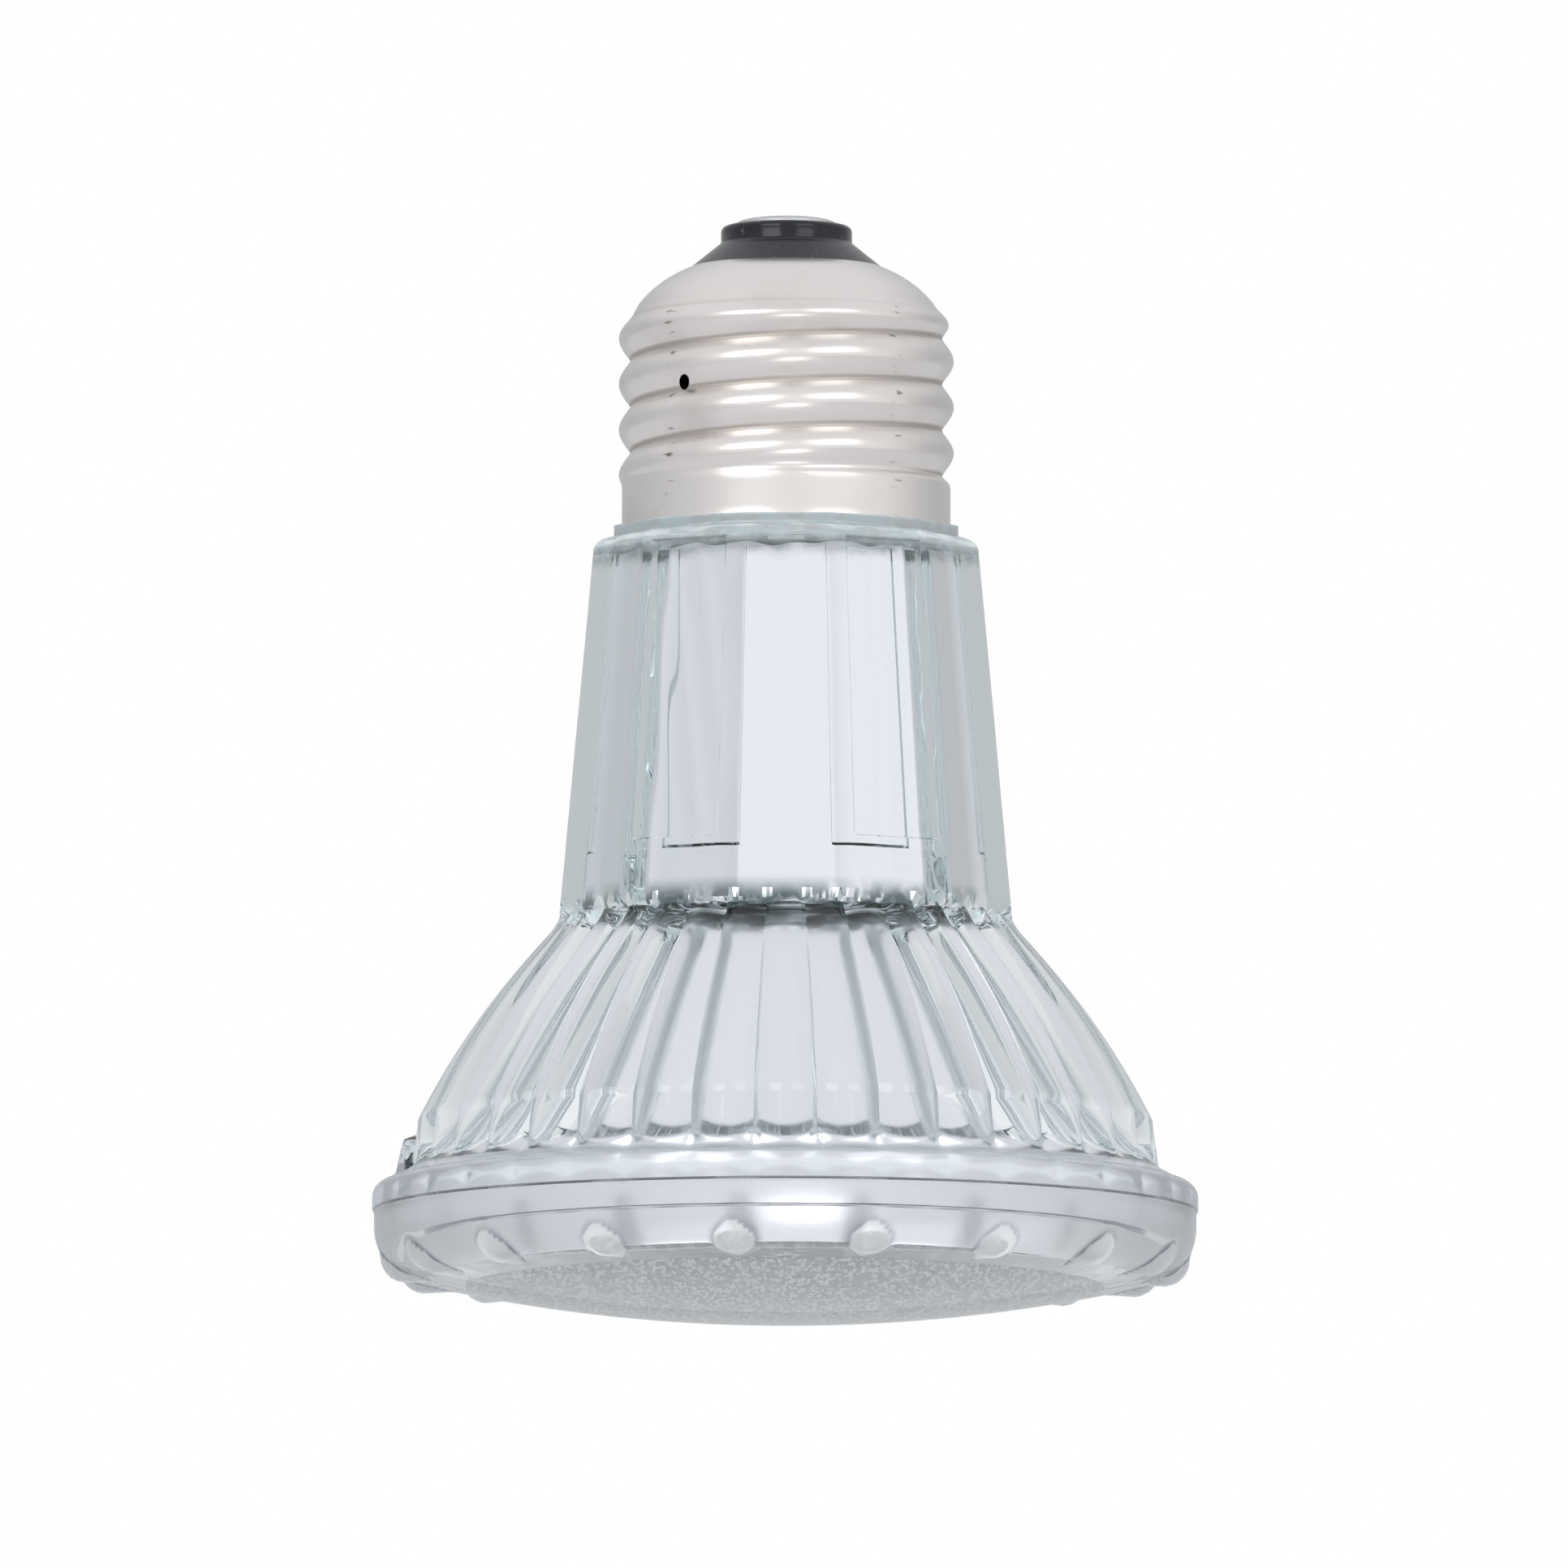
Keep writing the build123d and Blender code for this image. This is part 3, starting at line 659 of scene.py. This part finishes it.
def raise_lugs(bm):
    """Moves the skin of the lens out to the teardrops that stand on its corner."""
    form = bm.verts.layers.int["form"]
    outline = bm.verts.layers.float.new("lug_outline")
    body = bm.verts.layers.float.new("lug_body")
    step = 2 * pi / lens_lugs
    for v in bm.verts:
        if v[form] != LUGGED:
            continue
        angle = atan2(v.co.y, v.co.x) - lens_lug_start
        turn = Matrix.Rotation(lens_lug_start + round(angle / step) * step, 3, "Z")
        spot = turn.inverted() @ v.co - lens_lug_head
        along = spot.dot(lug_axis)
        if along > lug_reach_along:
            continue
        centre = Vector() if along < lug_touch else along * lug_axis
        size = lens_lug_radius
        if along >= lug_touch:
            size = lug_shoulder * (lug_reach_along - along) / (lug_reach_along - lug_touch)
        arm = spot - centre
        length = max(arm.length, 1e-4)
        if length < 2 * size:
            raised = (length**lens_lug_blend + size**lens_lug_blend) ** (1 / lens_lug_blend)
            v.co = turn @ (lens_lug_head + centre + arm * (raised / length))
            # The outline mask carries a painted dark ring round each lug, and the body mask a painted
            # highlight on it.
            v[outline] = max(0, 1 - abs(length - size) / lens_lug_outline)
            v[body] = float(length < size)


lens_glass_depth_colour = (0.78, 0.86, 0.87, 1)
lens_glass_depth_density = 14.0
# Painted shade: the stippled part of the face is tinted a darker grey than the clear glass.
stipple_shade_colour = (0.80, 0.83, 0.84, 1)
# Painted shade and glints: an opaque skin over the stippled face is dark grey in the pebble valleys and
# near white on the pebble tops and the lugs.
valley_shade_colour = (0.50, 0.515, 0.525, 1)
glint_colour = (0.95, 0.96, 0.97, 1)
# Painted shade: the glass is tinted dark along each lug's outline.
lug_outline_shade_colour = (0.42, 0.46, 0.48, 1)
stipple_length = 0.28
stipple_scale = 3000.0
# Shares of that painted skin: painted shade over the stippled face, painted glints on the pebble tops, and
# a painted highlight on the lugs.
stipple_shade_share = 0.4
top_glint_share = 0.55
lug_highlight_share = 0.45


def lens_depth(wire):
    depth = {"Color": lens_glass_depth_colour, "Density": lens_glass_depth_density}
    return wire.node("VolumeAbsorption", {}, depth)


def lens_surface(wire):
    """Smooth outside with a dull wall; inside the face, fine pebbles. A painted skin lays painted shade in
    the valleys, painted glints on the pebble tops and a painted highlight on the lugs, and the glass is
    tinted dark as painted shade over the stippled face and round each lug.
    """
    place = wire.node("TexCoord", {}, {}, "Object")
    middle = (0, 0, lens_dome_centre * mm)
    out = wire.node("VectorMath", {"operation": "DISTANCE"}, {0: place, 1: middle}, "Value")
    outer_skin = (lens_dome_radius - 0.3 * lens_face) * mm
    inner_skin = (lens_dome_radius - 0.7 * lens_face) * mm
    inside = soft_step(wire, out, outer_skin, inner_skin)
    edge = ((stipple_radius + 0.1) * mm, (stipple_radius - 0.1) * mm)
    stippled = inside * soft_step(wire, object_radius(wire), *edge)
    drawn_out = wire.node("VectorMath", {"operation": "MULTIPLY"}, {0: place, 1: (1, stipple_length, 1)})
    spots = {"Vector": drawn_out, "Scale": stipple_scale}
    pebbles = wire.node("TexVoronoi", {"feature": "SMOOTH_F1"}, spots)
    height = pebbles * stippled + object_noise(wire, 220.0) * 0.045
    wall = soft_step(wire, object_radius(wire), (lens_radius - 0.8) * mm, (lens_radius - 0.2) * mm)
    dull = wall * soft_step(wire, object_level(wire), (corner_level - 0.5) * mm, corner_level * mm)
    # Painted shade: the stippled face is tinted darker.
    shaded_tint = mix_colour(wire, stippled, glass_colour, stipple_shade_colour)
    # Painted shade along each lug's outline.
    outline = wire.node("Attribute", {"attribute_name": "lug_outline"}, {}, "Fac")
    clear = glass(wire, height, mix_colour(wire, outline, shaded_tint, lug_outline_shade_colour), dull)
    # Painted glints on the pebble tops, painted shade in the valleys between them.
    tops = soft_step(wire, pebbles, 0.50, 0.30) * stippled
    # Painted highlight: the body of each lug takes the pale glint colour in the painted skin.
    lug = wire.node("Attribute", {"attribute_name": "lug_body"}, {}, "Fac")
    colour = mix_colour(wire, tops + lug, valley_shade_colour, glint_colour)
    painted_skin = wire.node("BsdfPrincipled", {}, {"Base Color": colour, "Roughness": 0.3 - tops * 0.2})
    frost_and_painted_share = stippled * stipple_shade_share + tops * top_glint_share + lug * lug_highlight_share
    return wire.node("MixShader", {}, {0: frost_and_painted_share, 1: clear, 2: painted_skin})


corner_reach = lens_dome_radius - lens_corner
corner_radius = lens_radius - lens_corner
corner_level = lens_dome_centre - sqrt(corner_reach**2 - corner_radius**2)
corner_angle = asin(corner_radius / corner_reach)
lug_zone_radius = 24.0
lug_zone = asin(lug_zone_radius / lens_dome_radius)
floor_radius = lens_dome_radius - lens_face
floor_angle = asin(lens_floor_radius / floor_radius)
stipple_angle = asin(stipple_radius / floor_radius)
floor_level_at_wall = lens_dome_centre - floor_radius * cos(floor_angle)
wall_top = Vector((lens_wall_radius, lens_top))
wall_foot = Vector((lens_floor_radius, floor_level_at_wall))
corner_arc = [
    (corner_radius + lens_corner * sin(a), corner_level - lens_corner * cos(a))
    for a, _ in stretch((corner_angle, 0), (pi / 2, 0), 15)
]
lens_outline = [
    *rows(round_end(lens_dome_radius, lens_dome_centre, 0, lug_zone, 10), ROUND),
    *rows(round_end(lens_dome_radius, lens_dome_centre, lug_zone, corner_angle, 28)[1:-1], LUGGED),
    *rows(corner_arc, LUGGED),
    *rows(stretch((lens_radius, corner_level + 0.2), (lens_radius, lens_top + 0.15), 11), LUGGED),
    *rows([(lens_radius - 0.15, lens_top)], ROUND),
    *rows(stretch(wall_top, wall_top.lerp(wall_foot, 0.42), 3), SILVERED),
    *rows([wall_top.lerp(wall_foot, 0.445)], ROUND),
    *rows(stretch(wall_top.lerp(wall_foot, 0.47), wall_foot, 3), SILVERED),
    *rows(round_end(floor_radius, lens_dome_centre, stipple_angle, floor_angle, 10)[-2::-1], ROUND),
    *rows(round_end(floor_radius, lens_dome_centre, 0, stipple_angle, 70)[-2::-1], ROUND),
]
lens_mesh = lathe(lens_outline, lens_steps)
raise_lugs(lens_mesh)
lens_form = lens_mesh.verts.layers.int["form"]
for face in lens_mesh.faces:
    forms = {v[lens_form] for v in face.verts}
    face.material_index = int(forms == {SILVERED})
lens_glass = finish("lens_glass", lens_surface, lens_depth)
lens = piece(lens_mesh, "lens_dish", lens_glass, "lens_glass", "lens")
lens.data.materials.append(mirror_film)

# Cement: a ring of pale basing cement that holds the cap on the glass spigot. It is filled in as
# a paste and baked hard, and has the dull grain of a mortar.
cement_colour = (0.62, 0.60, 0.56, 1)
cement_dark_colour = (0.45, 0.43, 0.40, 1)


def basing_cement(wire):
    grain = object_noise(wire, 900.0, 6.0)
    colour = mix_colour(wire, grain, cement_dark_colour, cement_colour)
    relief = wire.node("Bump", {}, {"Height": grain, "Strength": 0.6, "Distance": 0.0004})
    return wire.node("BsdfPrincipled", {}, {"Base Color": colour, "Roughness": 0.9, "Normal": relief})


dress(finish("cement", basing_cement), "basing_cement")

# Screw shell: thin brass sheet, drawn to a cup, rolled with a right-hand knuckle thread and bright
# nickel plated. It is punched once on the thread, beside the lead that is welded inside.
shell_steps = 432
shell_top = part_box("screw_shell")[1].z / mm
shell_mouth = shell_top - 0.4
shell_mouth_radius = 7.55
dome_foot = shell_top - 3.3
dome_foot_radius = 11.6
thread_pitch = 3.629
thread_major = 13.15
thread_minor = 12.2
thread_crest_level = -14.9
thread_in = 2.5
thread_crest_form = 0.6
dome_slope = 0.45
skirt_top = dome_foot - 13.5
skirt_radius = 12.9
skirt_shoulder = 1.2
sheet = 0.3
hole_level = -13.95
hole_half_width = 0.40
hole_half_height = 0.56
hole_facing = radians(268)
THREAD, THREAD_INSIDE = SILVERED + 1, SILVERED + 2


def thread_radius(level, angle):
    """The rolled thread: broad round crests, narrower roots, faded into the dome and the skirt."""
    turn = (level - thread_crest_level) / thread_pitch - angle / (2 * pi)
    crest = (0.5 + 0.5 * cos(2 * pi * turn)) ** thread_crest_form
    fade_in = ease((dome_foot - level) / thread_in)
    fade_out = ease((level - skirt_top + skirt_shoulder) / skirt_shoulder)
    rolled = thread_minor + (thread_major - thread_minor) * crest
    above = dome_foot_radius + (dome_foot - level) * dome_slope
    return skirt_radius + fade_out * (above + fade_in * (rolled - above) - skirt_radius)


def shell_section(form, radius, level, angle):
    if form == THREAD:
        return thread_radius(level, angle)
    if form == THREAD_INSIDE:
        return thread_radius(level, angle) - sheet
    return radius


shell_colour = (0.79, 0.745, 0.715, 1)
shell_dull_colour = (0.66, 0.615, 0.585, 1)
# Painted shade: the thread roots are darkened to a dull brown, where the crests beside them shade them.
root_shade_colour = (0.30, 0.25, 0.21, 1)
root_shade_reach = 0.22
mark_colour = (0.20, 0.17, 0.15, 1)
mark_angles = (radians(-135), radians(-48))
mark_half_angle = radians(4)


def nickel_plate(wire):
    place = wire.node("TexCoord", {}, {}, "Object")
    x, y, level = (wire.node("SeparateXYZ", {}, {"Vector": place}, axis) for axis in "XYZ")
    radius = object_radius(wire)
    angle = wire.math("ARCTAN2", y, x)
    bloom = object_noise(wire, 120.0, 4.0)
    colour = mix_colour(wire, soft_step(wire, bloom, 0.45, 0.8), shell_colour, shell_dull_colour)
    threaded = soft_step(wire, level, (dome_foot - 0.6) * mm, (dome_foot - 1.6) * mm)
    # Painted shade in the thread roots; they are also made rougher.
    low = ((thread_minor + root_shade_reach) * mm, (thread_minor + 0.05) * mm)
    root = soft_step(wire, radius, *low) * threaded
    colour = mix_colour(wire, root * 0.6, colour, root_shade_colour)
    stretched = wire.node("VectorMath", {"operation": "MULTIPLY"}, {0: place, 1: (1, 1, 4)})
    streaks = wire.node("TexNoise", {}, {"Vector": stretched, "Scale": 700.0, "Detail": 4.0})
    for mark_angle in mark_angles:
        off = wire.math("ABSOLUTE", angle - mark_angle, 0)
        band = soft_step(wire, off, mark_half_angle, 0.0)
        mark = band * soft_step(wire, streaks, 0.57, 0.70) * threaded
        colour = mix_colour(wire, mark, colour, mark_colour)
    rough = bloom * 0.12 + root * 0.2 + 0.2
    return wire.node("BsdfPrincipled", {}, {"Base Color": colour, "Metallic": 1.0, "Roughness": rough})


dome_bulge = interpolate_bezier(
    (shell_mouth_radius, shell_mouth, 0),
    (shell_mouth_radius + 1.6, shell_mouth - 0.65, 0),
    (dome_foot_radius - 1.1, dome_foot + 1.4, 0),
    (dome_foot_radius, dome_foot, 0),
    14,
)
inner_radius = thread_minor - sheet
thread_foot = skirt_top - skirt_shoulder
shell_outline = [
    *rows(dome_bulge, ROUND),
    *rows(stretch((thread_minor, dome_foot - 0.18), (thread_minor, thread_foot), 78), THREAD),
    *rows(stretch((skirt_radius, thread_foot - 0.4), (skirt_radius, cap_rim + 0.25), 5), ROUND),
    *rows([(skirt_radius + 0.05, cap_rim), (skirt_radius - sheet, cap_rim)], ROUND),
    *rows(stretch((inner_radius, thread_foot), (inner_radius, dome_foot - 0.36), 39), THREAD_INSIDE),
    *rows([(p.x - sheet, p.y - 0.6 * sheet) for p in dome_bulge[::-2]], ROUND),
]
shell_mesh = lathe(shell_outline, shell_steps, closed=True)
press(shell_mesh, shell_section)
hole_mesh = bmesh.new()
hole_place = (thread_minor * cos(wiring_angle), thread_minor * sin(wiring_angle), hole_level)
hole_turn = Matrix.Translation(hole_place) @ Matrix.Rotation(hole_facing, 4, "Z")
hole_shape = Matrix.Rotation(pi / 2, 4, "Y") @ Matrix.Diagonal((hole_half_height, hole_half_width, 1, 1))
bmesh.ops.create_cone(
    hole_mesh,
    cap_ends=True,
    segments=24,
    radius1=1,
    radius2=1,
    depth=4,
    matrix=hole_turn @ hole_shape,
)
bmesh.ops.scale(hole_mesh, vec=(mm, mm, mm), verts=hole_mesh.verts)
hole_data = bpy.data.meshes.new("punch")
hole_mesh.to_mesh(hole_data)
hole_mesh.free()
punch = bpy.data.objects.new("punch", hole_data)
bpy.context.scene.collection.objects.link(punch)
plated_shell = finish("plated_shell", nickel_plate)
shell = piece(shell_mesh, "plated_screw_shell", plated_shell, "plated_shell", "screw_shell")
cut = shell.modifiers.new("punch", "BOOLEAN")
cut.object = punch
cut.solver = "EXACT"
cut_shell = shell.evaluated_get(bpy.context.evaluated_depsgraph_get())
punched = bpy.data.meshes.new_from_object(cut_shell)
shell.modifiers.clear()
shell.data = punched
shell.data.shade_smooth()
shell.data.set_sharp_from_angle(angle=radians(60))
bpy.data.objects.remove(punch)

# Insulator: black glass poured hot into the top of the shell and pressed to a button on a flared
# foot. It keeps the centre contact apart from the shell.
insulator_steps = 168
button_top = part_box("insulator")[1].z / mm
button_radius = 5.15
button_round = 0.5
button_foot = button_top - 1.3
waist_radius = 5.2
plug_radius = dome_foot_radius - 2 * sheet
black_glass_colour = (0.004, 0.005, 0.008, 1)


def black_glass(wire):
    dust = wire.node(
        "ValToRGB",
        {"stops": [(0.66, black_glass_colour[:3]), (0.74, (0.12, 0.12, 0.13))]},
        {"Fac": object_noise(wire, 2500.0, 3.0)},
    )
    swirl = object_noise(wire, 300.0)
    relief = wire.node("Bump", {}, {"Height": swirl, "Strength": 0.15, "Distance": 0.0003})
    return wire.node(
        "BsdfPrincipled",
        {},
        {"Base Color": dust, "Roughness": swirl * 0.15 + 0.10, "IOR": 1.45, "Normal": relief},
    )


button_edge = [
    (button_radius - button_round * (1 - sin(a)), button_top - button_round * (1 - cos(a)))
    for a, _ in stretch((0, 0), (pi / 2, 0), 8)
]
foot_flare = stretch((waist_radius, button_foot - 0.1), (shell_mouth_radius, shell_mouth), 8)
insulator_outline = [
    *rows([(0, button_top)], ROUND),
    *rows(button_edge, ROUND),
    *rows([(button_radius, button_foot)], ROUND),
    *rows(foot_flare, ROUND),
    *rows([(shell_mouth_radius - 0.02, shell_mouth - sheet)], ROUND),
    *rows([(plug_radius, dome_foot), (0, dome_foot)], ROUND),
]
insulator_mesh = lathe(insulator_outline, insulator_steps)
piece(insulator_mesh, "insulator_button", finish("black_glass", black_glass), "black_glass", "insulator")

# Centre contact: a tinned plate on the button. A drop of solder covers it and takes the end of
# the lead, and its worn flat is what touches the socket.
contact_radius = 3.9
contact_plate = 0.25
solder_flat = 2.2
solder_wave = 0.05
tin_colour = (0.68, 0.67, 0.65, 1)
solder_colour = (0.70, 0.71, 0.72, 1)
solder_dull_colour = (0.45, 0.46, 0.48, 1)


def tinned(wire):
    rough = object_noise(wire, 400.0) * 0.2 + 0.25
    return wire.node("BsdfPrincipled", {}, {"Base Color": tin_colour, "Metallic": 1.0, "Roughness": rough})


def soft_solder(wire):
    frost_and_painted_share = object_noise(wire, 600.0, 4.0)
    colour = mix_colour(wire, frost_and_painted_share, solder_dull_colour, solder_colour)
    relief = wire.node("Bump", {}, {"Height": frost_and_painted_share, "Strength": 0.3, "Distance": 0.0002})
    return wire.node(
        "BsdfPrincipled",
        {},
        {"Base Color": colour, "Metallic": 1.0, "Roughness": frost_and_painted_share * 0.3 + 0.15, "Normal": relief},
    )


dress(finish("tinned_plate", tinned), "centre_contact")
solder_edge = interpolate_bezier(
    (solder_flat, 0, 0),
    (solder_flat + 0.8, -0.02, 0),
    (contact_radius - 0.3, button_top + contact_plate + 0.2, 0),
    (contact_radius, button_top + contact_plate, 0),
    10,
)
solder_mesh = lathe(
    rows([(0, 0), (0.5 * solder_flat, 0)], ROUND)
    + rows(solder_edge, ROUND)
    + rows([(0, button_top + contact_plate)], ROUND),
    insulator_steps,
)
for v in solder_mesh.verts:
    v.co += solder_wave * noise.noise(1.2 * v.co) * Vector((v.co.x, v.co.y, 0)) / contact_radius
piece(solder_mesh, "solder_drop", finish("solder", soft_solder), "solder", "contact_solder")

# Studio: a plain pale floor far below the hanging lamp, a tent of soft light round it that is
# white to the camera, and three small soft lamps in front.
floor_level = -0.30
floor_reach = 1.2
floor_colour = (0.80, 0.80, 0.81, 1)
tent_front_colour = (0.95, 0.97, 1.0, 1)
tent_back_colour = (0.54, 0.56, 0.57, 1)
tent_left_colour = (0.60, 0.63, 0.65, 1)
tent_top_colour = (0.87, 0.89, 0.92, 1)
tent_back_foot_colour = (0.56, 0.58, 0.595, 1)
tent_foot_colour = (0.78, 0.80, 0.83, 1)
white = (1, 1, 1, 1)
aim_level = -0.0446


def pale_floor(wire):
    return wire.node("BsdfPrincipled", {}, {"Base Color": floor_colour, "Roughness": 0.9})


floor_mesh = bmesh.new()
bmesh.ops.create_grid(floor_mesh, x_segments=1, y_segments=1, size=floor_reach)
bmesh.ops.translate(floor_mesh, vec=(0, 0, floor_level), verts=floor_mesh.verts)
floor_data = bpy.data.meshes.new("floor")
floor_mesh.to_mesh(floor_data)
floor_mesh.free()
floor_data.materials.append(finish("pale_floor", pale_floor))
floor = bpy.data.objects.new("floor", floor_data)
bpy.context.scene.collection.objects.link(floor)

world = bpy.data.worlds.new("studio")
world.use_nodes = True
world.node_tree.nodes.clear()
sky = Wire(world.node_tree)
to_camera = sky.node("LightPath", {}, {}, "Is Camera Ray")
way = sky.node("TexCoord", {}, {}, "Generated")
across, depth, height = (sky.node("SeparateXYZ", {}, {"Vector": way}, axis) for axis in "XYZ")
behind = soft_step(sky, depth, 0.2, 0.7)
below = soft_step(sky, height, 0.05, -0.06)
tent = mix_colour(sky, soft_step(sky, depth, -0.6, 0.7), tent_front_colour, tent_back_colour)
tent = mix_colour(sky, soft_step(sky, across, -0.4, -0.95) * 0.6, tent, tent_left_colour)
tent = mix_colour(sky, soft_step(sky, height, 0.2, 0.9), tent, tent_top_colour)
tent = mix_colour(sky, behind * below, tent, tent_back_foot_colour)
tent = mix_colour(sky, soft_step(sky, height, -0.1, -0.8), tent, tent_foot_colour)
shown = mix_colour(sky, to_camera, tent, white)
backdrop = sky.node("Background", {}, {"Color": shown, "Strength": 1.0})
sky_output = world.node_tree.nodes.new("ShaderNodeOutputWorld")
world.node_tree.links.new(backdrop.socket, sky_output.inputs["Surface"])
bpy.context.scene.world = world
bpy.context.scene.view_settings.view_transform = "Standard"
bpy.context.scene.cycles.max_bounces = 18
bpy.context.scene.cycles.glossy_bounces = 12
bpy.context.scene.cycles.transmission_bounces = 18

for lamp_name, turn, rise, distance, size, power in (
    ("key", -28, 32, 0.9, 0.45, 1.3),
    ("fill", 35, 32, 0.9, 0.45, 0.8),
    ("low", 6, -22, 0.5, 0.16, 0.10),
):
    lamp_data = bpy.data.lights.new(lamp_name, "AREA")
    lamp_data.size = size
    lamp_data.energy = power
    lamp = bpy.data.objects.new(lamp_name, lamp_data)
    bpy.context.scene.collection.objects.link(lamp)
    toward = Vector((sin(radians(turn)), -cos(radians(turn)), tan(radians(rise)))).normalized()
    lamp.location = Vector((0, 0, aim_level)) + distance * toward
    lamp.rotation_mode = "QUATERNION"
    lamp.rotation_quaternion = (-toward).to_track_quat("-Z", "Y")

# Camera: a long lens a little below the lamp, looking up at it, as the photograph does. Its focal
# length follows from the photograph's width and scale.
camera_distance = 2.40
camera_side = -0.00014
camera_level = -0.282
frame_pixels = 1932
pixels_per_mm = 15.71
camera_roll = radians(0.08)
camera_data = bpy.data.cameras.new("camera")
camera_data.sensor_width = 36.0
camera = bpy.data.objects.new("camera", camera_data)
bpy.context.scene.collection.objects.link(camera)
camera.location = (camera_side, -camera_distance, camera_level)
sight = Vector((camera_side, 0, aim_level)) - camera.location
camera_data.lens = camera_data.sensor_width * sight.length / (frame_pixels / pixels_per_mm * mm)
camera.rotation_mode = "QUATERNION"
roll = Matrix.Rotation(camera_roll, 3, "Z").to_quaternion()
camera.rotation_quaternion = sight.to_track_quat("-Z", "Y") @ roll
bpy.context.scene.camera = camera
